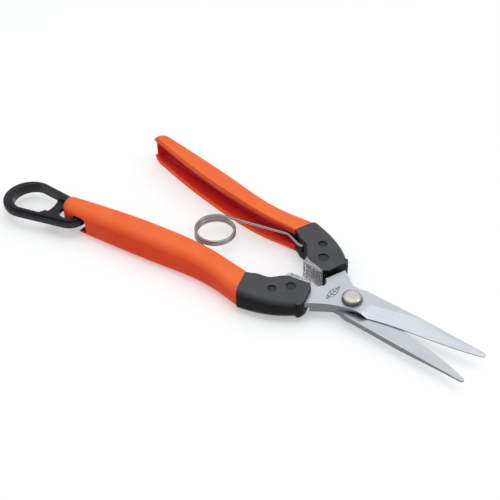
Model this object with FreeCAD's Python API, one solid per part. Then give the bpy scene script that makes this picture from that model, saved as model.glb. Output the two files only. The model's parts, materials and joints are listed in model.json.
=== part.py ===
import FreeCAD, Part
import math
import os

# Floral snips: two straight blades on a domed pivot bolt, pressed-steel channel handles
# with dipped vinyl grips, black neck covers, clear bumpers, a wire coil spring that holds
# the handles open, and a latch loop on the end of the right handle.
#
# +X runs to the blade tips, +Y is left and +Z is up. All shapes are drawn with the pivot
# axis at X = Y = 0 and the plane where the blades touch at Z = 0, in the open pose. They
# are moved at export, so that the origin is the centre of the footprint.
#
# The left half is drawn once. The right half is the same half turned over about the X
# axis, which puts its blade plate on top and its handle on the other side.

V = FreeCAD.Vector
os.makedirs("parts", exist_ok=True)

# ---- driving dimensions, millimetres and degrees ----
close_angle = 8.0           # each half turns by this much from open to closed

plate_thick = 2.3           # each blade plate
edge_land = 0.35            # thickness left at the cutting edge
bore_radius = 2.55
shank_radius = 2.5
head_radius = 4.2
head_height = 2.4
head_round = 1.9
blade_length = 55.5         # pivot to tip
spine_y = -7.3              # of the bottom blade's back edge
tip_radius = 1.1
washer_radius = 4.2
washer_thick = 0.4
nut_across_flats = 8.0
nut_chamfer = 0.86          # radius of the nut's lower face, as a share of its corner radius
nut_height = 4.0            # a plain M5 nut; the bolt ends in the plane that the snips lie on

grip_half_height = 7.25
vinyl_thick = 0.9
steel_thick = 1.2
corner_radius = 4.4         # round between a grip's back and its flat sides
taper_start = -76.0         # from here forwards the handle gets lower towards the neck
taper_end = -20.0
taper_low_half = 5.0        # half height that the taper runs down to
lip_radius = 0.7            # round on the grip's lips
handle_end_x = -129.5
end_radius = 5.0            # round of the handle's end, seen from above
channel_overlap = 3.5       # channel runs this far past the seam, inside the neck
plain_end_depth = 1.8       # the left handle's end is open this far between its flanges
tongue_low = -3.4           # the latch loop's tongue, between these heights
tongue_high = 2.9

seam_x = -38.4              # where the vinyl ends and the neck cover starts
seam_y = 22.0
seam_turn = -19.0           # slope of the seam against the Y axis

neck_rear_half = 5.6
neck_front_half = 4.4
neck_slope_start = 1.0      # ahead of the seam, where the cover starts to get lower
neck_slope_end = 21.0
neck_corner_radius = 2.8
neck_plug_back = -46.0      # the neck's plug inside the channel ends here
neck_plug_inner = 18.9
rivet_radius = 1.5
front_rivet = (-21.9, 10.7)
rear_rivet = (-26.7, 16.6)
front_head = (1.85, 2.2, 0.55)      # head radius, recess radius and recess depth
rear_head = (1.5, 1.9, 0.7)
head_rise = 0.35            # of a rivet's domed head
bumper_half = 4.2
bumper_round = 0.6
bumper_gap = 0.12           # left between the two bumpers when the snips are closed
bumper_rear = -27.0
bumper_front = -18.6
rib_pitch = 2.0             # of the grooves in the bumper's face
rib_depth = 0.35
peg_radius = 0.8            # of the bumper's pegs

wire_radius = 0.575
coil_x = -70.3
coil_radius = 8.2           # to the middle of the wire
coil_pitch = 1.5
eye_radius = 1.75           # hook round the pin, to the middle of the wire
hook_reach = 235.0          # how far the hook goes round its pin
knee = (-43.8, 15.9)        # where the leg bends down to its hook
knee_radius = 4.0
spring_pin = (-36.0, 15.0)
spring_pin_radius = 0.8
pin_half_length = 4.4
hook_slot_half = 2.8        # half height of the slot that the hook works in
hook_clearance = 0.6

latch_axis = (-125.7, -29.9)
latch_angle = 190.3         # direction of the loop as it hangs, from +X
latch_length = 21.9         # hinge axis to the centre of the big end
latch_small_radius = 8.0
latch_big_radius = 11.3
latch_hole_radius = 5.1
latch_half_thick = 2.2
latch_flange_half = 1.2
latch_step = 1.5            # the thick middle stands in from the edge by this much
latch_round = 0.5           # round on the loop's edges
latch_waist_half = 1.0      # half thickness of the bar between the two holes
latch_waist_width = 9.2
eye_start = 9.0             # the big eye, measured along the loop from the hinge axis
eye_end = 28.6
eye_half_width = 8.3
eye_shoulder = 0.86         # where the eye's round end starts, as a share of its half width
eye_nose_length = 2.6       # of the bowed near end
eye_nose_drop = 1.3
window_front = -115.4       # window in the right handle that the loop passes through
window_back = -122.3
flange_end = -119.2         # the flange over the window ends here
window_corner_radius = 2.0

# ---- values that follow ----
wall = 2 * vinyl_thick + steel_thick
knee_distance = math.hypot(knee[0] - coil_x, knee[1])
knee_angle = math.degrees(math.atan2(knee[1], knee[0] - coil_x))
leg_angle = knee_angle + math.degrees(math.acos(coil_radius / knee_distance))
half_coil_angle = 540.0 - leg_angle     # from where the leg leaves the coil to the middle of the coil
coil_top = coil_pitch * half_coil_angle / 360.0


# ---- drawing helpers ----
def point(x, y, z=0.0):
    return V(x, y, z)


def spline(points):
    curve = Part.BSplineCurve()
    curve.interpolate([point(*p) for p in points])
    return curve.toShape()


def line(a, b):
    return Part.makeLine(point(*a), point(*b))


def arc(a, middle, b):
    return Part.Arc(point(*a), point(*middle), point(*b)).toShape()


def face(*edges):
    return Part.Face(Part.Wire(Part.__sortEdges__(list(edges))))


def polygon(points):
    return Part.Face(Part.makePolygon([point(*p) for p in points + points[:1]]))


def prism(shape, bottom, top):
    solid = shape.extrude(V(0, 0, top - bottom))
    solid.translate(V(0, 0, bottom))
    return solid


def cylinder(centre, radius, bottom, top):
    return Part.makeCylinder(radius, top - bottom, point(centre[0], centre[1], bottom))


def box(x0, x1, y0, y1, z0, z1):
    return Part.makeBox(x1 - x0, y1 - y0, z1 - z0, point(x0, y0, z0))


def turned_over(shape):
    """The other half: the same shape turned over about the X axis."""
    copy = shape.copy()
    copy.rotate(V(0, 0, 0), V(1, 0, 0), 180)
    return copy


def flat_edges(shape, height):
    """Edges that lie wholly in the plane Z = height."""
    found = []
    for edge in shape.Edges:
        if abs(edge.BoundBox.ZMin - height) < 1e-4 and abs(edge.BoundBox.ZMax - height) < 1e-4:
            found.append(edge)
    return found


def rounded(shape, radius, edges):
    """Fillet the edges together, or one at a time where the kernel can't."""
    try:
        result = shape.makeFillet(radius, edges)
        if result.isValid() and result.Volume > 0:
            return result
    except Exception:
        pass
    result = shape
    for edge in edges:
        try:
            attempt = result.makeFillet(radius, [edge])
        except Exception:
            continue
        if attempt.isValid() and attempt.Volume > 0:
            result = attempt
    return result


def one_solid(shape):
    """The largest solid of a shape, cleaned of split faces."""
    solids = sorted(shape.Solids, key=lambda solid: solid.Volume)
    return solids[-1].removeSplitter()


# ---- handle: nested channels around one outline ----
def handle_lip(inset):
    """The handle's inner side, where the channel is open."""
    run = [(-28.0, 14.4), (-39.0, 16.0), (-55.0, 15.4), (-75.0, 16.6), (-100.0, 20.4), (-118.0, 24.4)]
    run.append((-134.0, 28.4))
    return [(x, y + inset) for x, y in run]


def handle_back(inset):
    """The handle's outer side, drawn in by the inset along its normal."""
    run = [(-27.0, 24.9), (-35.0, 26.7), (-45.0, 25.4), (-60.0, 24.2), (-80.0, 26.8), (-104.0, 30.2)]
    run.append((handle_end_x + end_radius, 32.7))
    curve = Part.BSplineCurve()
    curve.interpolate([point(*p) for p in run])
    moved = []
    for p in run:
        where = curve.parameter(point(*p))
        along = curve.tangent(where)[0]
        moved.append(curve.value(where) + V(-along.y, along.x, 0) * inset)
    inner = Part.BSplineCurve()
    inner.interpolate(moved)
    return inner


def side_profile(inset):
    """The handle from the side: flat for most of its length, then lower towards the neck."""
    far = -140.0
    half = grip_half_height - inset
    low = taper_low_half - inset
    lead = 0.286 * (taper_end - taper_start)
    trail = 0.446 * (taper_end - taper_start)
    edges = []
    for side in (1, -1):
        slope = Part.BezierCurve()
        slope.setPoles([V(taper_start, 0, side * half), V(taper_start + lead, 0, side * half),
                        V(taper_end - trail, 0, side * (low + 0.8)), V(taper_end, 0, side * low)])
        edges.append(slope.toShape())
        edges.append(Part.makeLine(V(far, 0, side * half), V(taper_start, 0, side * half)))
    edges.append(Part.makeLine(V(far, 0, half), V(far, 0, -half)))
    edges.append(Part.makeLine(V(taper_end, 0, low), V(taper_end, 0, -low)))
    return face(*edges).extrude(V(0, 60.0, 0))


def handle_block(inset):
    """The handle as if solid and wide, with its back and end drawn in by the inset."""
    curve = handle_back(inset)
    radius = end_radius - inset
    first = curve.value(curve.FirstParameter)
    last = curve.value(curve.LastParameter)
    along = curve.tangent(curve.LastParameter)[0]
    inward = V(-along.y, along.x, 0)
    centre = last + inward * radius
    nose = centre + V(-radius, 0, 0)
    diagonal = (V(-1, 0, 0) - inward).normalize()
    round_end = Part.Arc(last, centre + diagonal * radius, nose).toShape()
    base = (nose.x, 0.0)
    corner = (first.x, 0.0)
    outline = face(curve.toShape(), round_end, line((nose.x, nose.y), base), line(base, corner),
                   line(corner, (first.x, first.y)))
    solid = prism(outline, -20.0, 20.0).common(side_profile(inset))
    chain = []
    for edge in solid.Edges:
        box_of = edge.BoundBox
        upright = box_of.ZLength > 5.0
        across = box_of.XLength < 0.01 and box_of.XMin > handle_end_x + 10.0
        if not upright and not across and box_of.YMax > 20.0:
            chain.append(edge)
    return rounded(solid, corner_radius - inset, chain)


def handle_side(inset):
    """Everything on the handle's side of its lips."""
    lip = handle_lip(inset)
    first = lip[0]
    last = lip[-1]
    far = 60.0
    outline = face(spline(lip), line(last, (last[0], far)), line((last[0], far), (first[0], far)),
                   line((first[0], far), first))
    return prism(outline, -20.0, 20.0)


def behind_seam(distance):
    """Everything on the handle's side of a plane, at a distance ahead of the seam."""
    wide = box(-200.0, distance, -60.0, 60.0, -20.0, 20.0)
    wide.rotate(V(0, 0, 0), V(0, 0, 1), seam_turn)
    wide.translate(point(seam_x, seam_y))
    return wide


def plain_end(inset):
    """Cutter that opens the end of the left handle between its flanges."""
    half = grip_half_height - wall + inset
    return box(-140.0, handle_end_x + plain_end_depth, 0.0, 60.0, -half, half)


def tongue_cut():
    """Cutter that leaves a tongue at the right handle's end for the latch loop to hang on."""
    high = grip_half_height + 1.0
    flange_inside = grip_half_height - wall
    window = box(window_back, window_front, 27.0, 40.0, tongue_low, flange_inside - 0.2)
    upright = [edge for edge in window.Edges
               if edge.BoundBox.YLength > 5 and edge.BoundBox.ZMax < tongue_low + 0.1]
    window = window.makeFillet(window_corner_radius, upright)
    end = box(-140.0, window_back + 1.0, 0.0, 60.0, tongue_high, high)
    flange = box(-140.0, flange_end, 0.0, 60.0, flange_inside - 0.5, high)
    return window.fuse(end).fuse(flange)


solid_block = handle_block(0.0)
steel_block = handle_block(vinyl_thick)
inner_block = handle_block(vinyl_thick + steel_thick)
hollow_block = handle_block(wall)


def channel(cutter):
    """Pressed steel channel, cut to shape at its end."""
    shape = steel_block.common(handle_side(vinyl_thick)).cut(inner_block)
    shape = shape.common(behind_seam(channel_overlap))
    return one_solid(shape.cut(cutter))


def grip(cutter, metal):
    """Vinyl skin over the channel, inside and out, and round its lips."""
    shape = solid_block.common(handle_side(0.0)).cut(hollow_block)
    shape = one_solid(shape.common(behind_seam(0.0)).cut(cutter))
    lips = [edge for edge in shape.Edges if edge.BoundBox.XLength > 60.0 and edge.BoundBox.YMin < 16.5
            and edge.BoundBox.ZLength < 0.01]
    return one_solid(rounded(shape, lip_radius, lips).cut(metal))


# ---- neck cover, bumper, rivets and spring pin ----
def neck_outline():
    inner = spline([(-42.0, 16.3), (-39.0, 15.6), (-36.0, 13.8), (-32.0, 12.6), (-29.0, 9.4), (-26.2, 6.6)])
    front_inner = (-17.2, 4.7)
    front_low = (-15.6, 5.9)
    front_high = (-12.9, 14.3)
    outer_corner = (-13.8, 15.9)
    outer = spline([(-13.8, 15.9), (-19.8, 20.6), (-26.0, 23.6), (-37.5, 26.6)])
    seam = line((-37.5, 26.6), (-42.0, 16.3))
    return face(inner, line((-26.2, 6.6), front_inner), line(front_inner, front_low),
                line(front_low, front_high), line(front_high, outer_corner), outer, seam)


def neck_lip():
    """Small lip at the front outer corner of the cover."""
    half = neck_front_half - 0.9
    outline = polygon([(-13.2, 14.3), (-13.3, 15.8), (-14.2, 16.8), (-15.8, 16.4)])
    return prism(outline, -half, half)


def neck_profile():
    """Side view of the cover, full height at the seam and lower at the front."""
    sides = [(-20.0, neck_rear_half), (neck_slope_start, neck_rear_half)]
    sides += [(neck_slope_end, neck_front_half), (40.0, neck_front_half)]
    outline = sides + [(x, -z) for x, z in reversed(sides)]
    wire = Part.makePolygon([V(x, -60.0, z) for x, z in outline + outline[:1]])
    shape = Part.Face(wire).extrude(V(0, 120.0, 0))
    shape.rotate(V(0, 0, 0), V(0, 0, 1), seam_turn)
    shape.translate(point(seam_x, seam_y))
    return shape


def tang():
    """Outline of the tang from where it leaves the blade to its tail in the channel."""
    return [(-16.6, 4.9), (-21.9, 7.6), (-31.0, 19.4), (-44.0, 20.4), (-44.0, 21.9), (-31.5, 22.8),
            (-21.8, 18.6), (-15.0, 14.9)]


def blade_plate():
    """Bottom plate: tang to the left handle, blade and back lobe on the right."""
    spine_tip = (blade_length - tip_radius, spine_y - tip_radius)
    edge_tip = (blade_length - 0.9, spine_y + 0.75)
    heel = (10.5, 3.3)
    edge = spline([heel, (18.0, 1.25), (32.5, -1.5), edge_tip])
    tip_round = arc(edge_tip, (blade_length, spine_y), spine_tip)
    back = line(spine_tip, (2.0, spine_y))
    lobe_curve = arc((2.0, spine_y), (-1.4, -6.6), (-4.4, -6.7))
    lobe_side = line((-4.4, -6.7), (-11.9, -11.9))
    lobe_end = line((-11.9, -11.9), (-15.2, -3.0))
    crotch = arc((-15.2, -3.0), (-13.1, -0.6), (-14.6, 2.2))
    tang_points = tang()
    inside = line((-14.6, 2.2), tang_points[0])
    sides = [line(a, b) for a, b in zip(tang_points[:-1], tang_points[1:])]
    shoulder = spline([(-15.0, 14.9), (-8.5, 9.7), (-2.0, 6.3), (5.0, 4.3)])
    choil = arc((5.0, 4.3), (8.2, 4.1), heel)
    outline = face(edge, tip_round, back, lobe_curve, lobe_side, lobe_end, crotch, inside, *sides,
                   shoulder, choil)
    plate = prism(outline, -plate_thick, 0.0)
    plate = plate.cut(ground_face())
    plate = plate.cut(cylinder((0.0, 0.0), bore_radius, -10.0, 10.0))
    for centre in (front_rivet, rear_rivet):
        plate = plate.cut(cylinder(centre, rivet_radius, -10.0, 10.0))
    return one_solid(plate)


def ground_face():
    """Wedge taken off the outside of the blade, from the grind line to the edge. It runs out
    over a short length at the heel."""
    outside = -plate_thick
    clear = outside - 1.0
    stations = [
        (6.8, 4.0, outside, -2.6),
        (9.8, 3.5, -edge_land, -2.6),
        (62.0, -8.2, -edge_land, -17.9),
    ]
    sections = []
    for x, edge_y, edge_z, grind_y in stations:
        beyond = edge_y + 4.0
        ring = [V(x, beyond, clear), V(x, beyond, edge_z), V(x, edge_y, edge_z), V(x, grind_y, outside)]
        ring.append(V(x, grind_y, clear))
        sections.append(Part.makePolygon(ring + ring[:1]))
    return Part.makeLoft(sections, True, True)


def along_neck(x, y):
    """Distance ahead of the seam."""
    slope = math.radians(seam_turn)
    return (x - seam_x) * math.cos(slope) + (y - seam_y) * math.sin(slope)


def neck_height(x, y):
    """Half height of the cover above a point."""
    run = (along_neck(x, y) - neck_slope_start) / (neck_slope_end - neck_slope_start)
    run = min(max(run, 0.0), 1.0)
    return neck_rear_half + (neck_front_half - neck_rear_half) * run


def neck(metal, plate):
    body = prism(neck_outline(), -neck_rear_half, neck_rear_half).common(neck_profile())
    body = body.cut(behind_seam(0.0))
    back_edges = [edge for edge in body.Edges if edge.BoundBox.YMin > 15.5
                  and edge.BoundBox.XLength > 4.0 and edge.BoundBox.ZLength < 3.0]
    body = rounded(body, neck_corner_radius, back_edges).fuse(neck_lip()).cut(metal)
    plug = hollow_block.common(box(neck_plug_back, seam_x + 6.0, neck_plug_inner, 40.0, -20.0, 20.0))
    pin_x, pin_y = spring_pin
    slot_radius = eye_radius + wire_radius + hook_clearance
    cutters = [cylinder(spring_pin, slot_radius, -hook_slot_half, hook_slot_half)]
    cutters.append(box(-45.0, pin_x, 8.0, neck_plug_inner - 0.3, -hook_slot_half, hook_slot_half))
    cutters.append(cylinder(spring_pin, spring_pin_radius, -pin_half_length, pin_half_length))
    for centre, head in ((front_rivet, front_head), (rear_rivet, rear_head)):
        seat = neck_height(*centre) - head[2]
        cutters.append(cylinder(centre, rivet_radius, -20.0, 20.0))
        cutters.append(cylinder(centre, head[1], seat, 20.0))
        cutters.append(cylinder(centre, head[1], -20.0, -seat))
    for cutter in cutters:
        body = body.cut(cutter)
    return one_solid(body.fuse(plug.common(behind_seam(0.0))).cut(plate))


def rivet(centre, head):
    seat = neck_height(*centre) - head[2]
    body = cylinder(centre, rivet_radius, -seat, seat)
    radius = head[0]
    dome_radius = (radius * radius + head_rise * head_rise) / (2 * head_rise)
    for side in (1, -1):
        dome = Part.makeSphere(dome_radius, point(centre[0], centre[1], 0.0))
        dome.translate(V(0, 0, side * (seat + head_rise - dome_radius)))
        flat = (side * seat, side * (seat + 1.0))
        body = body.fuse(cylinder(centre, radius, min(flat), max(flat)).common(dome))
    return one_solid(body)


def bumper(cover):
    """Clear ribbed stop on the neck's inner face. Its face is radial to the pivot, so that the
    two bumpers meet flat when the snips are closed."""
    lean = math.tan(math.radians(close_angle))
    rear = bumper_rear
    front = bumper_front
    outline = polygon([(rear, bumper_gap - rear * lean), (front, bumper_gap - front * lean),
                       (front + 0.9, 3.6), (front + 0.9, 6.2), (rear + 0.5, 9.8), (rear - 0.9, 8.6),
                       (rear - 0.6, 4.8)])
    body = prism(outline, -bumper_half, bumper_half)
    body = rounded(body, bumper_round, flat_edges(body, bumper_half) + flat_edges(body, -bumper_half))
    x = rear + rib_pitch
    while x < front:
        centre = (x, bumper_gap - x * lean)
        body = body.cut(cylinder(centre, rib_depth, -20.0, 20.0))
        x += rib_pitch
    return body.cut(cover)


def bumper_pegs():
    """Two pairs of pegs that hold the bumper in its cover."""
    pegs = []
    for x, y in ((bumper_rear + 2.0, 5.4), (bumper_front - 0.9, 4.2)):
        for z in (-2.0, 2.0):
            pegs.append(Part.makeCylinder(peg_radius, 3.0, point(x, y, z), V(0.1, 1, 0)))
    return pegs[0].fuse(pegs[1:])


# ---- pivot ----
def pivot_bolt():
    head = cylinder((0.0, 0.0), head_radius, plate_thick, plate_thick + head_height)
    head = head.makeFillet(head_round, flat_edges(head, plate_thick + head_height))
    bottom = -grip_half_height
    return one_solid(head.fuse(cylinder((0.0, 0.0), shank_radius, bottom, plate_thick)))


def pivot_washer():
    ring = cylinder((0.0, 0.0), washer_radius, -plate_thick - washer_thick, -plate_thick)
    return ring.cut(cylinder((0.0, 0.0), shank_radius, -10.0, 10.0))


def pivot_nut():
    top = -plate_thick - washer_thick
    reach = nut_across_flats / math.sqrt(3.0)
    corners = [(reach * math.cos(math.radians(60 * k)), reach * math.sin(math.radians(60 * k)))
               for k in range(6)]
    nut = prism(polygon(corners), top - nut_height, top)
    cone = Part.makeCone(reach * nut_chamfer, reach * nut_chamfer + nut_height, nut_height,
                         point(0.0, 0.0, top - nut_height))
    return one_solid(nut.common(cone).cut(cylinder((0.0, 0.0), shank_radius, -20.0, 20.0)))


# ---- spring ----
def tangent_from(centre, radius, far, side):
    """Point where a line from a far point touches a circle, on the left or right side."""
    dx = far[0] - centre[0]
    dy = far[1] - centre[1]
    distance = math.hypot(dx, dy)
    angle = math.atan2(dy, dx) + side * math.acos(radius / distance)
    return centre[0] + radius * math.cos(angle), centre[1] + radius * math.sin(angle)


def wire_along(path, start, direction):
    ring = Part.Wire(Part.makeCircle(wire_radius, start, direction))
    return path.makePipeShell([ring], True, False)


def on_circle(centre, radius, angle):
    turn = math.radians(angle)
    return centre[0] + radius * math.cos(turn), centre[1] + radius * math.sin(turn)


def spring_leg():
    """Left leg at the top of the coil, from the hook on its pin to where it meets the coil."""
    pin_x, pin_y = spring_pin
    leave = on_circle((coil_x, 0.0), coil_radius, leg_angle)
    touch = tangent_from(spring_pin, eye_radius, knee, 1)
    start = math.degrees(math.atan2(touch[1] - pin_y, touch[0] - pin_x))
    middle = on_circle(spring_pin, eye_radius, start + hook_reach / 2)
    end = on_circle(spring_pin, eye_radius, start + hook_reach)
    run = bend(leave, knee, touch, knee_radius)
    edges = [line(leave, run[0]), arc(*run), line(run[2], touch), arc(touch, middle, end)]
    path = Part.Wire([edge.translated(V(0, 0, coil_top)) for edge in edges])
    direction = V(run[0][0] - leave[0], run[0][1] - leave[1], 0)
    return wire_along(path, point(leave[0], leave[1], coil_top), direction)


def bend(a, corner, b, radius):
    """Arc that rounds the corner between two straight runs."""
    ax, ay = a[0] - corner[0], a[1] - corner[1]
    bx, by = b[0] - corner[0], b[1] - corner[1]
    la = math.hypot(ax, ay)
    lb = math.hypot(bx, by)
    ax, ay, bx, by = ax / la, ay / la, bx / lb, by / lb
    half = math.acos(ax * bx + ay * by) / 2
    cut = radius / math.tan(half)
    mx, my = ax + bx, ay + by
    lm = math.hypot(mx, my)
    depth = radius / math.sin(half) - radius
    start = (corner[0] + ax * cut, corner[1] + ay * cut)
    middle = (corner[0] + mx / lm * depth, corner[1] + my / lm * depth)
    end = (corner[0] + bx * cut, corner[1] + by * cut)
    return start, middle, end


def half_coil():
    """Upper half of the coil, turning down from the left leg to the middle of the coil."""
    helix = Part.makeHelix(coil_pitch, coil_top, coil_radius)
    helix = helix.mirror(V(0, 0, 0), V(0, 0, 1))
    helix.rotate(V(0, 0, 0), V(0, 0, 1), leg_angle)
    helix.translate(point(coil_x, 0.0, coil_top))
    start = helix.Edges[0].valueAt(helix.Edges[0].FirstParameter)
    direction = helix.Edges[0].tangentAt(helix.Edges[0].FirstParameter)
    return wire_along(Part.Wire(helix.Edges), start, direction)


# ---- latch loop ----
def hull_outline(small, big):
    """Two round ends joined by straight sides that touch both, along -X from the axis."""
    lean = math.acos((small - big) / latch_length)
    ends = []
    for centre, radius in ((0.0, small), (-latch_length, big)):
        dx = -radius * math.cos(lean)
        dy = radius * math.sin(lean)
        ends.append(((centre + dx, dy), (centre + dx, -dy)))
    (small_up, small_down), (big_up, big_down) = ends
    return face(arc(small_down, (small, 0.0), small_up), line(small_up, big_up),
                arc(big_up, (-latch_length - big, 0.0), big_down), line(big_down, small_down))


def eye_outline():
    """The big eye: a half round far end and a flatter, bowed near end."""
    half = eye_half_width
    far = -eye_end
    near = -eye_start
    shoulder = far + half * eye_shoulder
    front = near - eye_nose_length
    nose_half = half - eye_nose_drop
    return face(line((front, nose_half), (shoulder, half)),
                arc((shoulder, half), (far, 0.0), (shoulder, -half)),
                line((shoulder, -half), (front, -nose_half)),
                arc((front, -nose_half), (near, 0.0), (front, nose_half)))


def latch_plate(inset, half):
    """The loop's outline as a plate with rounded edges."""
    plate = prism(hull_outline(latch_small_radius - inset, latch_big_radius - inset), -half, half)
    return plate.makeFillet(latch_round, flat_edges(plate, half) + flat_edges(plate, -half))


def latch_loop():
    loop = latch_plate(latch_step, latch_half_thick).fuse(latch_plate(0.0, latch_flange_half))
    loop = loop.cut(cylinder((0.0, 0.0), latch_hole_radius, -10.0, 10.0))
    loop = loop.cut(prism(eye_outline(), -10.0, 10.0))
    bar_end = -eye_start - 2.2
    side = latch_waist_width / 2
    for low, high in ((latch_waist_half, 10.0), (-10.0, -latch_waist_half)):
        loop = loop.cut(box(bar_end, -latch_hole_radius * 0.6, -side, side, low, high))
    loop.rotate(V(0, 0, 0), V(0, 0, 1), latch_angle - 180.0)
    loop.translate(point(*latch_axis))
    return one_solid(loop)


# ---- assembly ----
nodes = {}
neck_hull = prism(neck_outline(), -neck_front_half, neck_front_half)


def build_half(side, end_cutter_steel, end_cutter_vinyl, place):
    metal = channel(end_cutter_steel)
    plate = blade_plate()
    pegs = bumper_pegs()
    cover = neck(metal, plate)
    stop = bumper(cover)
    cover = one_solid(cover.cut(pegs))
    stop = one_solid(stop.fuse(pegs.common(neck_hull)).cut(plate))
    cover = one_solid(cover.cut(stop))
    nodes[side + "_handle_channel"] = place(metal)
    nodes[side + "_grip"] = place(grip(end_cutter_vinyl, metal))
    nodes[side + "_neck"] = place(cover)
    nodes[side + "_bumper"] = place(stop)
    nodes[side + "_front_rivet"] = place(rivet(front_rivet, front_head))
    nodes[side + "_rear_rivet"] = place(rivet(rear_rivet, rear_head))
    pin = cylinder(spring_pin, spring_pin_radius, -pin_half_length, pin_half_length)
    nodes[side + "_spring_pin"] = place(pin)
    leg = spring_leg().fuse(half_coil())
    nodes["spring_" + side + "_leg"] = place(one_solid(leg))
    return place(plate)


def unchanged(shape):
    return shape


nodes["bottom_blade"] = build_half("left", plain_end(vinyl_thick), plain_end(0.0), unchanged)
nodes["top_blade"] = build_half("right", tongue_cut(), tongue_cut(), turned_over)
nodes["pivot_bolt"] = pivot_bolt()
nodes["pivot_washer"] = pivot_washer()
nodes["pivot_nut"] = pivot_nut()
nodes["latch_loop"] = latch_loop()

# ---- export, with the origin at the centre of the footprint ----
whole = Part.makeCompound(list(nodes.values())).optimalBoundingBox(False, False)
shift = V(-(whole.XMin + whole.XMax) / 2, -(whole.YMin + whole.YMax) / 2, -whole.ZMin)
for name, shape in nodes.items():
    moved = shape.copy()
    moved.translate(shift)
    moved.exportStep("parts/" + name + ".step")
    print(name, moved.isValid(), len(moved.Solids), round(moved.Volume, 1))
print("size", whole.XLength, whole.YLength, whole.ZLength)
print("pivot", tuple(shift))
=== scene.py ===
import json
import math

import bpy
from mathutils import Matrix, Vector


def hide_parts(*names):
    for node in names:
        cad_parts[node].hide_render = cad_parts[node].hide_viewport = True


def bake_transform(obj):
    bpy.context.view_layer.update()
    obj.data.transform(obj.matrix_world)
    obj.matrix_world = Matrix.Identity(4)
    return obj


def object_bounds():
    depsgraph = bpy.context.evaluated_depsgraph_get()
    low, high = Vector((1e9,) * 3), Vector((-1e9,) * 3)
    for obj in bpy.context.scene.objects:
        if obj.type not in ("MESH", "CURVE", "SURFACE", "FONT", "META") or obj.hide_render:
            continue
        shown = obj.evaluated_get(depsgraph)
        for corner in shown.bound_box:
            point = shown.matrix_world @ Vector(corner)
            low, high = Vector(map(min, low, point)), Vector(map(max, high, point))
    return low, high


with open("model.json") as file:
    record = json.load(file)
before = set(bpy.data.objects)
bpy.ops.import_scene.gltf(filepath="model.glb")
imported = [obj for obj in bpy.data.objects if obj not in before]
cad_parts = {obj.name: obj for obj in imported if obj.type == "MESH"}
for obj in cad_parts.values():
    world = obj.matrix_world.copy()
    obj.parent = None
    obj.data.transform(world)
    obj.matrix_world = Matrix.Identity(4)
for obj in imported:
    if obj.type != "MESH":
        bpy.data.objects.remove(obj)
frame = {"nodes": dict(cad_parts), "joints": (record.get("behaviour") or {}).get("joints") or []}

# Floral snips: looks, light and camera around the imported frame. Lengths are in metres.

MM = 0.001
cad_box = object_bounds()
joints = {joint["name"]: joint for joint in frame["joints"]}
pivot = Vector(joints["blade_pivot"]["pos_m"])
hook_right = Vector(joints["spring_hook"]["pos_m"])
coil = Vector(joints["spring_wind"]["pos_m"])
SIDES = ("left", "right")
RANGE_SOCKETS = ("From Min", "From Max", "To Min", "To Max")

# ---- the spring's wire, as the design has it ----
WIRE_RADIUS = 0.575 * MM
WIRE_SMOOTHNESS = 4
COIL_RADIUS = 8.2 * MM
COIL_PITCH = 1.5 * MM
EYE_RADIUS = 1.75 * MM
EYE_REACH = math.radians(235)
KNEE = Vector((-43.8, 15.9)) * MM       # from the pivot, bend of the left leg
KNEE_RADIUS = 4.0 * MM
EYE_STEPS = 40
KNEE_STEPS = 10
COIL_STEPS = 160

# ---- the mark on the top blade ----
LEAF_CENTRE = pivot + Vector((-8.0, -1.6, 0.0)) * MM
LEAF_HALF_LENGTH = 4.6 * MM
LEAF_HALF_WIDTH = 1.45 * MM
LEAF_OUTLINE = 0.16                     # line widths, as shares of the half width
LEAF_MIDRIB = 0.09
LEAF_VEIN_TURNS = 16.0                  # radians of the vein wave along half the leaf
LEAF_VEIN_SLANT = 5.0
LEAF_VEIN_LEVEL = 0.80                  # of the wave, above which a vein is drawn
LEAF_ABOVE = 2.2 * MM                   # from the pivot, just under the top blade's upper face

# ---- the painted shade in the hollow on the top blade's side ----
HEEL_MIDDLE = 7.0 * MM
HEEL_HALF = 7.0 * MM
HEEL_HEIGHT = 1.9 * MM

# ---- the painted shade inside the handles ----
FLOOR_START = 55 * MM                   # behind the pivot, where the channel's floor line starts
FLOOR_OFFSET = 18 * MM                  # its distance from the middle plane there
FLOOR_SLOPE = 0.14
FLANGE_FULL = 4.9 * MM                  # height from the middle, where the painted shade inside the channel starts to end
FLANGE_END = 5.2 * MM

# ---- bevels ----
WELD_REACH = 0.002 * MM
SHARP_EDGE = math.radians(30.0)

# ---- camera and light ----
CAMERA_AZIMUTH = math.radians(40.1)
CAMERA_ELEVATION = math.radians(41.7)
CAMERA_ROLL = math.radians(-1.3)
CAMERA_DISTANCE = 493.5 * MM
CAMERA_TARGET = pivot + Vector((-51.2, -0.3, 0.0)) * MM
CAMERA_LENS = 86.4
FLOOR_SIZE = 6.0
FLOOR_GAP = 0.02 * MM                   # below the snips
FLOOR_GLOW = 0.36
SKY_RANGE = (0.05, 0.95, 0.24, 1.0)     # the sky's strength goes from 0.24 low down to 1 overhead


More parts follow.
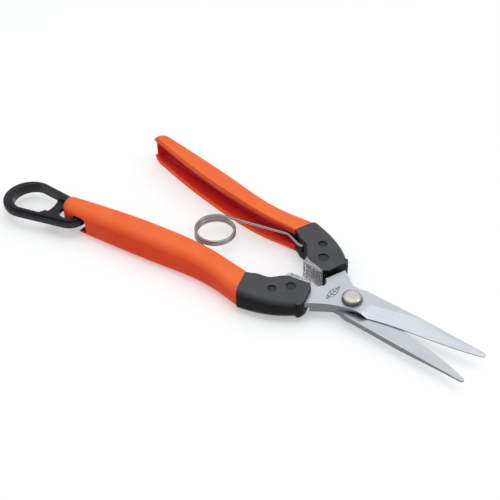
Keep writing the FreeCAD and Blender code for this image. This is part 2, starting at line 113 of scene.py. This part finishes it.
# ---------------------------------------------------------------- shader helpers
class Shader:
    """A node material with one Principled shader and object coordinates in metres."""

    def __init__(self, name, colour, roughness, metallic=0.0):
        self.material = bpy.data.materials.new(name)
        self.material.use_nodes = True
        self.tree = self.material.node_tree
        self.principled = self.tree.nodes["Principled BSDF"]
        self.set("Base Color", (*colour, 1.0))
        self.set("Roughness", roughness)
        self.set("Metallic", metallic)
        self.position = self.tree.nodes.new("ShaderNodeTexCoord").outputs["Object"]

    def set(self, socket, value):
        self.principled.inputs[socket].default_value = value

    def link(self, output, socket):
        self.tree.links.new(output, socket)

    def stretched(self, scale, turn=0.0):
        """Object coordinates, turned about Z and scaled along each axis."""
        mapping = self.tree.nodes.new("ShaderNodeMapping")
        mapping.inputs["Scale"].default_value = scale
        mapping.inputs["Rotation"].default_value = (0.0, 0.0, turn)
        self.link(self.position, mapping.inputs["Vector"])
        return mapping.outputs["Vector"]

    def noise(self, scale, detail=2.0, roughness=0.5, vector=None):
        node = self.tree.nodes.new("ShaderNodeTexNoise")
        node.inputs["Scale"].default_value = scale
        node.inputs["Detail"].default_value = detail
        node.inputs["Roughness"].default_value = roughness
        self.link(vector or self.position, node.inputs["Vector"])
        return node.outputs["Fac"]

    def remap(self, value, low, high, to_low, to_high):
        node = self.tree.nodes.new("ShaderNodeMapRange")
        for socket, number in zip(RANGE_SOCKETS, (low, high, to_low, to_high)):
            node.inputs[socket].default_value = number
        self.link(value, node.inputs["Value"])
        return node.outputs["Result"]

    def maths(self, operation, first, second=None):
        """A sum on one or two values, each a number or an output."""
        node = self.tree.nodes.new("ShaderNodeMath")
        node.operation = operation
        for socket, value in zip(node.inputs, (first, second)):
            if isinstance(value, (int, float)):
                socket.default_value = value
            elif value is not None:
                self.link(value, socket)
        return node.outputs["Value"]

    def mix(self, factor, first, second):
        """Blend of two colours, each a tuple or an output."""
        node = self.tree.nodes.new("ShaderNodeMix")
        node.data_type = "RGBA"
        self.link(factor, node.inputs["Factor"])
        for socket, colour in ((node.inputs[6], first), (node.inputs[7], second)):
            if isinstance(colour, tuple):
                socket.default_value = (*colour, 1.0)
            else:
                self.link(colour, socket)
        return node.outputs[2]

    def bump(self, height, distance, strength=1.0, below=None):
        node = self.tree.nodes.new("ShaderNodeBump")
        node.inputs["Distance"].default_value = distance
        node.inputs["Strength"].default_value = strength
        self.link(height, node.inputs["Height"])
        if below is not None:
            self.link(below, node.inputs["Normal"])
        self.link(node.outputs["Normal"], self.principled.inputs["Normal"])
        return node.outputs["Normal"]

    def parts(self, vector):
        """X, Y and Z of a vector."""
        split = self.tree.nodes.new("ShaderNodeSeparateXYZ")
        self.link(vector, split.inputs["Vector"])
        return [split.outputs[letter] for letter in "XYZ"]

    def normal(self):
        return self.parts(self.tree.nodes.new("ShaderNodeNewGeometry").outputs["Normal"])

    def upward(self):
        """How far the surface's normal points up or down, from 0 on a side to 1 on a flat."""
        return self.maths("ABSOLUTE", self.normal()[2])

    def inward(self):
        """How far the surface faces the middle plane of the snips, from -1 to 1."""
        side = self.maths("SIGN", self.maths("SUBTRACT", self.parts(self.position)[1], pivot.y))
        return self.maths("MULTIPLY", self.maths("MULTIPLY", side, self.normal()[1]), -1.0)


def deep_in_handle(shader):
    """Mask for the painted shade inside the channel: 1 at the bottom of a handle's channel, 0 at its
    lips.
    """
    x, y, _ = shader.parts(shader.position)
    from_middle = shader.maths("ABSOLUTE", shader.maths("SUBTRACT", y, pivot.y))
    run = shader.maths("SUBTRACT", pivot.x - FLOOR_START, x)
    floor_line = shader.maths("ADD", shader.maths("MULTIPLY", run, FLOOR_SLOPE), FLOOR_OFFSET)
    return shader.remap(shader.maths("SUBTRACT", from_middle, floor_line), 0.0, 1 * MM, 0.0, 1.0)


def between_flanges(shader):
    """Mask for the painted shade inside the channel: 1 on the inside of a handle's channel, 0 on its
    outside and its lips.
    """
    height = shader.parts(shader.position)[2]
    height = shader.maths("ABSOLUTE", shader.maths("SUBTRACT", height, pivot.z))
    facing = shader.remap(shader.inward(), -0.5, -0.3, 0.0, 1.0)
    return shader.maths("MULTIPLY", facing, shader.remap(height, FLANGE_FULL, FLANGE_END, 1.0, 0.0))


def vinyl():
    """Dipped vinyl: satin, with a faint grain, slow colour drift and a little grime, and painted shade:
    sides darker and redder than tops and lips, and the channel's inside a deep crimson.
    """
    shader = Shader("grip_vinyl", (0.80, 0.10, 0.018), 0.46)
    drift = shader.remap(shader.noise(70.0, 3.0), 0.35, 0.65, 0.0, 1.0)
    flat = shader.mix(drift, (0.84, 0.128, 0.020), (0.88, 0.150, 0.026))
    # Painted shade: upright sides take a darker, redder colour than the tops.
    painted_side_shade = shader.mix(drift, (0.68, 0.052, 0.016), (0.73, 0.066, 0.018))
    level = shader.remap(shader.upward(), 0.15, 0.95, 0.0, 1.0)
    outside = shader.mix(level, painted_side_shade, flat)
    # Painted light: surfaces facing the middle plane, the channel's lips, take back the lighter top
    # colour.
    shaded = shader.mix(shader.remap(shader.inward(), 0.2, 0.7, 0.0, 0.75), outside, flat)
    # Painted shade: the inside of the channel is dark red, turning crimson deep down on its web.
    painted_channel_shade = shader.mix(deep_in_handle(shader), (0.72, 0.030, 0.018), (0.56, 0.012, 0.028))
    colour = shader.mix(between_flanges(shader), shaded, painted_channel_shade)
    shader.link(shader.remap(level, 0.0, 1.0, 0.06, 0.5),
                shader.principled.inputs["Specular IOR Level"])
    grime = shader.remap(shader.noise(330.0, 5.0, 0.65), 0.60, 0.78, 0.0, 0.28)
    shader.link(shader.mix(grime, colour, (0.50, 0.055, 0.012)), shader.principled.inputs["Base Color"])
    rough = shader.remap(shader.noise(420.0, 4.0), 0.3, 0.7, 0.40, 0.54)
    shader.link(rough, shader.principled.inputs["Roughness"])
    waves = shader.bump(shader.noise(150.0, 2.0), 0.25 * MM, 0.5)
    shader.bump(shader.noise(2600.0, 2.0), 0.03 * MM, 0.6, waves)
    shader.set("Subsurface Weight", 0.08)
    shader.set("Subsurface Radius", (0.0022, 0.0008, 0.0003))
    shader.set("Subsurface Scale", 1.0)
    return shader.material


def neck_plastic():
    """Charcoal nylon with a fine moulded texture and scuffs, and painted shade: its sides are darker
    than its top.
    """
    shader = Shader("neck_plastic", (0.045, 0.046, 0.049), 0.5)
    drift = shader.remap(shader.noise(160.0, 3.0), 0.35, 0.65, 0.0, 1.0)
    flat = shader.mix(drift, (0.040, 0.041, 0.044), (0.050, 0.051, 0.055))
    # Painted shade: sides nearly black, the top charcoal.
    colour = shader.mix(shader.remap(shader.upward(), 0.1, 0.9, 0.0, 1.0), (0.007, 0.007, 0.008), flat)
    scuff_vector = shader.stretched((1.0, 6.0, 1.0), 0.5)
    scuff = shader.remap(shader.noise(260.0, 6.0, 0.7, scuff_vector), 0.66, 0.80, 0.0, 0.35)
    shader.link(shader.mix(scuff, colour, (0.12, 0.12, 0.125)), shader.principled.inputs["Base Color"])
    shader.link(shader.remap(shader.noise(500.0, 3.0), 0.3, 0.7, 0.42, 0.55),
                shader.principled.inputs["Roughness"])
    shader.link(shader.remap(shader.upward(), 0.1, 0.9, 0.10, 0.62),
                shader.principled.inputs["Specular IOR Level"])
    shader.bump(shader.noise(5200.0, 2.0), 0.03 * MM, 0.7)
    return shader.material


def steel(name, flat, side, roughness, streak_turn=0.0):
    """Ground stainless, with streaks on the flats and painted shade on the sides, which take a darker
    colour: the shader, its streaks and its colour.
    """
    shader = Shader(name, flat, roughness, 1.0)
    streaks = shader.noise(900.0, 4.0, 0.6, shader.stretched((0.08, 2.2, 1.0), streak_turn))
    clouds = shader.noise(95.0, 3.0)
    bright = tuple(min(1.0, channel * 1.05) for channel in flat)
    dark = tuple(channel * 0.91 for channel in flat)
    ground = shader.mix(shader.remap(streaks, 0.3, 0.7, 0.0, 1.0), dark, bright)
    cloudy = shader.mix(shader.remap(clouds, 0.4, 0.75, 0.0, 0.35), ground, dark)
    # Painted shade: faces that are not flat take the dark side colour.
    flatness = shader.remap(shader.upward(), 0.35, 0.75, 0.0, 1.0)
    return shader, streaks, shader.mix(flatness, side, cloudy)


def blade_steel(name, streak_turn, marked):
    """A blade's steel, with painted shade on its sides. The marked one is the top blade, with the leaf
    and painted shade in the hollow by the bolt.
    """
    shader, streaks, colour = steel(name, (0.80, 0.83, 0.87), (0.20, 0.20, 0.22), 0.38, streak_turn)
    if marked:
        colour = shader.mix(leaf_mark(shader), colour, (0.10, 0.10, 0.11))
        # Painted shade in the hollow just ahead of the bolt.
        colour = shader.mix(heel_shade(shader), colour, (0.012, 0.012, 0.014))
    shader.link(colour, shader.principled.inputs["Base Color"])
    shader.link(shader.remap(streaks, 0.3, 0.7, 0.33, 0.46), shader.principled.inputs["Roughness"])
    shader.bump(streaks, 0.006 * MM, 0.8)
    return shader.material


def heel_shade(shader):
    """Painted shade: a dark patch on the top blade's side where it meets the bottom blade, just ahead
    of the bolt.
    """
    x, _, z = shader.parts(shader.position)
    along = shader.maths("SUBTRACT", x, pivot.x + HEEL_MIDDLE)
    share = shader.maths("DIVIDE", along, HEEL_HALF)
    top = shader.maths("SUBTRACT", 1.0, shader.maths("MULTIPLY", share, share))
    height = shader.maths("DIVIDE", shader.maths("SUBTRACT", z, pivot.z), HEEL_HEIGHT)
    inside = shader.remap(shader.maths("SUBTRACT", top, height), -0.05, 0.2, 0.0, 1.0)
    side = shader.remap(shader.upward(), 0.3, 0.6, 1.0, 0.0)
    return shader.maths("MULTIPLY", inside, side)


def leaf_mark(shader):
    """A plain etched leaf beside the bolt: 1 on its outline, midrib and veins, 0 elsewhere."""
    x, y, z = shader.parts(shader.position)
    across = shader.maths("ABSOLUTE", shader.maths("SUBTRACT", x, LEAF_CENTRE.x))
    across = shader.maths("DIVIDE", across, LEAF_HALF_WIDTH)
    along = shader.maths("SUBTRACT", y, LEAF_CENTRE.y)
    along = shader.maths("DIVIDE", along, LEAF_HALF_LENGTH)
    inside = shader.maths("SUBTRACT", 1.0, shader.maths("MULTIPLY", along, along))
    inside = shader.maths("SUBTRACT", inside, across)
    within = shader.maths("GREATER_THAN", inside, 0.0)
    outline = shader.maths("LESS_THAN", inside, LEAF_OUTLINE)
    midrib = shader.maths("LESS_THAN", across, LEAF_MIDRIB)
    slant = shader.maths("MULTIPLY", across, LEAF_VEIN_SLANT)
    waves = shader.maths("SUBTRACT", shader.maths("MULTIPLY", along, LEAF_VEIN_TURNS), slant)
    veins = shader.maths("GREATER_THAN", shader.maths("SINE", waves), LEAF_VEIN_LEVEL)
    drawn = shader.maths("MAXIMUM", shader.maths("MAXIMUM", outline, midrib), veins)
    on_top = shader.maths("GREATER_THAN", z, pivot.z + LEAF_ABOVE)
    return shader.maths("MULTIPLY", shader.maths("MULTIPLY", drawn, within), on_top)


def polished(name, colour, roughness, wear=0.10):
    """Bright metal with faint wear in its gloss and its tint. Returns the shader."""
    shader = Shader(name, colour, roughness, 1.0)
    worn = shader.remap(shader.noise(240.0, 3.0, 0.6), 0.45, 0.75, roughness, roughness + wear)
    shader.link(worn, shader.principled.inputs["Roughness"])
    tint = tuple(channel * 0.88 for channel in colour)
    shader.link(shader.mix(shader.remap(shader.noise(120.0, 2.0), 0.4, 0.7, 0.0, 0.6), colour, tint),
                shader.principled.inputs["Base Color"])
    shader.bump(shader.noise(90.0, 1.0), 0.004 * MM, 0.3)
    return shader


def bolt_chrome():
    """Nickel with a bright top and a painted reflection: the head's side is painted dark, as the band
    that a domed head's side mirrors.
    """
    shader = polished("bolt_chrome", (0.80, 0.77, 0.72), 0.13)
    colour = shader.principled.inputs["Base Color"].links[0].from_socket
    # Painted reflection: the head's side is darker than its top.
    side = shader.remap(shader.upward(), 0.30, 0.80, 0.0, 1.0)
    shader.link(shader.mix(side, (0.10, 0.096, 0.09), colour), shader.principled.inputs["Base Color"])
    return shader.material


def gloss_black(name, low, high, colour=(0.014, 0.014, 0.016)):
    """Black moulding with a soft gloss and small scratches."""
    shader = Shader(name, colour, low)
    scratch = shader.remap(shader.noise(520.0, 6.0, 0.7, shader.stretched((1.0, 4.0, 1.0), 0.2)),
                           0.55, 0.78, 0.0, 0.4)
    shader.link(shader.mix(scratch, colour, (0.06, 0.06, 0.064)),
                shader.principled.inputs["Base Color"])
    shader.link(shader.remap(shader.noise(700.0, 4.0), 0.3, 0.7, low, high),
                shader.principled.inputs["Roughness"])
    shader.set("Specular IOR Level", 0.25)
    shader.bump(shader.noise(900.0, 3.0), 0.012 * MM, 0.4)
    return shader.material


def clear_plastic():
    """Clear soft plastic with a slight haze."""
    shader = Shader("clear_plastic", (0.90, 0.91, 0.92), 0.20)
    shader.set("Transmission Weight", 0.75)
    shader.set("IOR", 1.46)
    haze = shader.remap(shader.noise(420.0, 4.0), 0.35, 0.7, 0.08, 0.30)
    shader.link(haze, shader.principled.inputs["Roughness"])
    shader.bump(shader.noise(700.0, 3.0), 0.04 * MM, 0.6)
    return shader.material


# ---------------------------------------------------------------- mesh helpers
def softened(node, width):
    """Small bevels on a CAD node's edges, so that they catch the light."""
    thing = frame["nodes"][node]
    weld = thing.modifiers.new("weld", "WELD")
    weld.merge_threshold = WELD_REACH
    bevel = thing.modifiers.new("bevel", "BEVEL")
    bevel.width = width
    bevel.segments = 2
    bevel.limit_method = "ANGLE"
    bevel.angle_limit = SHARP_EDGE
    bevel.harden_normals = True
    bevel.use_clamp_overlap = True


def paint(node, material):
    thing = frame["nodes"][node]
    thing.data.materials.clear()
    thing.data.materials.append(material)


def tube(name, points, radius, material):
    """A round wire along a run of points, as a mesh."""
    curve = bpy.data.curves.new(name, "CURVE")
    curve.dimensions = "3D"
    curve.bevel_depth = radius
    curve.bevel_resolution = WIRE_SMOOTHNESS
    curve.use_fill_caps = True
    run = curve.splines.new("POLY")
    run.points.add(len(points) - 1)
    for place, spot in zip(run.points, points):
        place.co = (*spot, 1.0)
    holder = bpy.data.objects.new(name + "_run", curve)
    bpy.context.scene.collection.objects.link(holder)
    bpy.context.view_layer.update()
    mesh = bpy.data.meshes.new_from_object(holder.evaluated_get(bpy.context.evaluated_depsgraph_get()))
    bpy.data.objects.remove(holder)
    mesh.name = name
    for polygon in mesh.polygons:
        polygon.use_smooth = True
    mesh.materials.clear()
    mesh.materials.append(material)
    thing = bpy.data.objects.new(name, mesh)
    bpy.context.scene.collection.objects.link(thing)
    return thing


def turn_points(centre, radius, start, sweep, count):
    """Points on an arc about a centre, by angle in radians."""
    spots = []
    for step in range(count + 1):
        angle = start + sweep * step / count
        spots.append(centre + Vector((math.cos(angle), math.sin(angle))) * radius)
    return spots


def knee_points(first, corner, last, radius, count):
    """Points on the arc that rounds a corner between two straight runs."""
    towards = (first - corner).normalized()
    away = (last - corner).normalized()
    half = towards.angle(away) / 2
    centre = corner + (towards + away).normalized() * (radius / math.sin(half))
    start = corner + towards * (radius / math.tan(half))
    end = corner + away * (radius / math.tan(half))
    begin = math.atan2(*reversed(start - centre))
    sweep = math.atan2(*reversed(end - centre)) - begin
    sweep = (sweep + math.pi) % (2 * math.pi) - math.pi
    return turn_points(centre, radius, begin, sweep, count)


# ---------------------------------------------------------------- spring
def left_leg():
    """Middle of the wire from the hook to the coil, on the left, measured from the pivot, and
    the angle about the coil where it arrives."""
    pin = Vector((hook_right.x - pivot.x, pivot.y - hook_right.y))
    reach = KNEE - pin
    touch = math.atan2(reach.y, reach.x) + math.acos(EYE_RADIUS / reach.length)
    eye = turn_points(pin, EYE_RADIUS, touch, EYE_REACH, EYE_STEPS)
    middle = Vector((coil.x - pivot.x, 0.0))
    span = KNEE - middle
    arrive = math.atan2(span.y, span.x) + math.acos(COIL_RADIUS / span.length)
    coil_side = middle + Vector((math.cos(arrive), math.sin(arrive))) * COIL_RADIUS
    knee = knee_points(coil_side, KNEE, eye[0], KNEE_RADIUS, KNEE_STEPS)
    return list(reversed(eye)) + list(reversed(knee)) + [coil_side], arrive


def spring():
    """One wire: left leg, coil and right leg, made as one still mesh. On the real snips it winds about
    the coil as the handles close.
    """
    leg, arrive = left_leg()
    half_sweep = 3 * math.pi - arrive
    top = COIL_PITCH * half_sweep / (2 * math.pi)
    centre = Vector((coil.x - pivot.x, 0.0))
    points = [Vector((spot.x, spot.y, top)) for spot in leg]
    for step in range(1, COIL_STEPS):
        share = step / COIL_STEPS
        angle = arrive + share * 2 * half_sweep
        spot = centre + Vector((math.cos(angle), math.sin(angle))) * COIL_RADIUS
        points.append(Vector((spot.x, spot.y, top - share * 2 * top)))
    points += [Vector((spot.x, -spot.y, -top)) for spot in reversed(leg)]
    wire = tube("coil_spring", [pivot + spot for spot in points], WIRE_RADIUS,
                polished("spring_wire", (0.44, 0.42, 0.40), 0.18, 0.05).material)
    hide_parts("spring_left_leg", "spring_right_leg")
    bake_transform(wire)


# ---------------------------------------------------------------- dressing of the CAD nodes
def dress_nodes():
    grip_skin = vinyl()
    cover = neck_plastic()
    clear = clear_plastic()
    dark_rivet = gloss_black("dark_rivet", 0.46, 0.58, (0.036, 0.037, 0.040))
    primed = gloss_black("channel_steel", 0.45, 0.6)
    plated = polished("plated_steel", (0.55, 0.55, 0.53), 0.28).material
    for side in SIDES:
        paint(side + "_grip", grip_skin)
        paint(side + "_neck", cover)
        paint(side + "_bumper", clear)
        paint(side + "_front_rivet", dark_rivet)
        paint(side + "_rear_rivet", dark_rivet)
        paint(side + "_handle_channel", primed)
        paint(side + "_spring_pin", primed)
        softened(side + "_grip", 0.35 * MM)
        softened(side + "_neck", 0.30 * MM)
        softened(side + "_bumper", 0.25 * MM)
    paint("top_blade", blade_steel("blade_steel_top", 0.2, True))
    paint("bottom_blade", blade_steel("blade_steel_bottom", -0.2, False))
    paint("pivot_bolt", bolt_chrome())
    paint("pivot_nut", plated)
    paint("pivot_washer", plated)
    paint("latch_loop", gloss_black("latch_plastic", 0.16, 0.30))
    for node in ("top_blade", "bottom_blade"):
        softened(node, 0.06 * MM)
    softened("latch_loop", 0.6 * MM)
    softened("pivot_nut", 0.12 * MM)


# ---------------------------------------------------------------- studio
def soft_light(name, place, size, power, mirrored):
    """A square lamp aimed at the origin. One that isn't mirrored only lights surfaces."""
    data = bpy.data.lights.new(name, "AREA")
    data.size = size
    data.energy = power
    lamp = bpy.data.objects.new(name, data)
    lamp.location = place
    lamp.rotation_euler = (-Vector(place)).to_track_quat("-Z", "Y").to_euler()
    lamp.visible_glossy = mirrored
    bpy.context.scene.collection.objects.link(lamp)


def studio():
    mesh = bpy.data.meshes.new("floor")
    half = FLOOR_SIZE / 2
    mesh.from_pydata([(-half, -half, 0), (half, -half, 0), (half, half, 0), (-half, half, 0)], [],
                     [(0, 1, 2, 3)])
    floor = bpy.data.objects.new("floor", mesh)
    floor.location.z = cad_box[0][2] - FLOOR_GAP
    bpy.context.scene.collection.objects.link(floor)
    shader = Shader("floor_paper", (0.62, 0.63, 0.63), 0.85)
    shader.link(shader.mix(shader.noise(6.0, 2.0), (0.615, 0.625, 0.625), (0.625, 0.635, 0.635)),
                shader.principled.inputs["Base Color"])
    shader.set("Emission Color", (1.0, 1.0, 1.0, 1.0))
    shader.set("Emission Strength", FLOOR_GLOW)
    mesh.materials.append(shader.material)
    world = bpy.data.worlds.new("studio")
    world.use_nodes = True
    tree = world.node_tree
    background = tree.nodes["Background"]
    direction = tree.nodes.new("ShaderNodeTexCoord")
    split = tree.nodes.new("ShaderNodeSeparateXYZ")
    height = tree.nodes.new("ShaderNodeMapRange")
    for socket, number in zip(RANGE_SOCKETS, SKY_RANGE):
        height.inputs[socket].default_value = number
    tree.links.new(direction.outputs["Generated"], split.inputs["Vector"])
    tree.links.new(split.outputs["Z"], height.inputs["Value"])
    tree.links.new(height.outputs["Result"], background.inputs["Strength"])
    background.inputs["Color"].default_value = (0.97, 0.985, 1.0, 1.0)
    bpy.context.scene.world = world
    soft_light("key", (0.15, -0.05, 1.10), 0.8, 4.2, False)
    soft_light("side", (0.9, 0.45, 0.7), 0.5, 1.0, True)


def camera():
    back = Vector((math.sin(CAMERA_AZIMUTH) * math.cos(CAMERA_ELEVATION),
                   -math.cos(CAMERA_AZIMUTH) * math.cos(CAMERA_ELEVATION), math.sin(CAMERA_ELEVATION)))
    right = (-back).cross(Vector((0, 0, 1))).normalized()
    up = right.cross(-back)
    turned_right = right * math.cos(CAMERA_ROLL) + up * math.sin(CAMERA_ROLL)
    turned_up = up * math.cos(CAMERA_ROLL) - right * math.sin(CAMERA_ROLL)
    data = bpy.data.cameras.new("camera")
    data.lens = CAMERA_LENS
    data.clip_start = 0.01
    eye = bpy.data.objects.new("camera", data)
    turn = Matrix((turned_right, turned_up, back)).transposed().to_4x4()
    eye.matrix_world = Matrix.Translation(CAMERA_TARGET + back * CAMERA_DISTANCE) @ turn
    bpy.context.scene.collection.objects.link(eye)
    bpy.context.scene.camera = eye


dress_nodes()
spring()
studio()
camera()
bpy.context.scene.view_settings.view_transform = "Standard"
